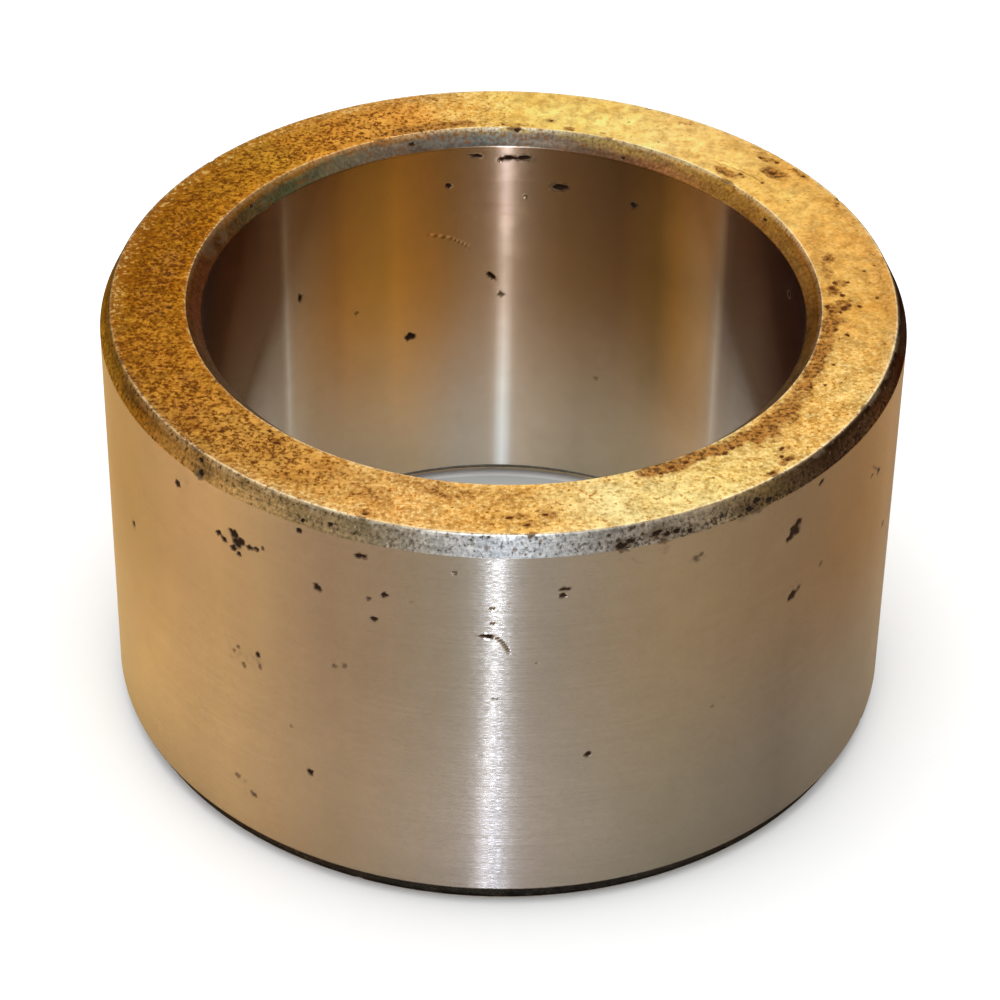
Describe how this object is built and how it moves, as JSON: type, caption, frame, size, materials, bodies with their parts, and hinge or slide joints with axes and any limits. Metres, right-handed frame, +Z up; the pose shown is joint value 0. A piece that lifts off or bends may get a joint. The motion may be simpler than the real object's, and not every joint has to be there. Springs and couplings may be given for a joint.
{
  "type": "sleeve bushing",
  "caption": "Plain bronze sleeve bushing: a thick-walled ring with a ground outside and bore, lead-in chamfers outside and chamfered bore mouths, pressed into a housing to carry a shaft.",
  "frame": {"origin": "on the bore axis, in the plane of the lower end face", "axes": "+Z up along the bore axis, from the lower end face to the upper one; X and Y lie across the bore, and any way round is the same because the bushing is round"},
  "size_m": [0.08, 0.08, 0.045],
  "materials": {
    "bearing_bronze": "fine ground outside and bore, as-faced ends, light oil stains and small pits"
  },
  "bodies": {
    "root": {"bushing_sleeve": "bearing_bronze"}
  },
  "joints": []
}
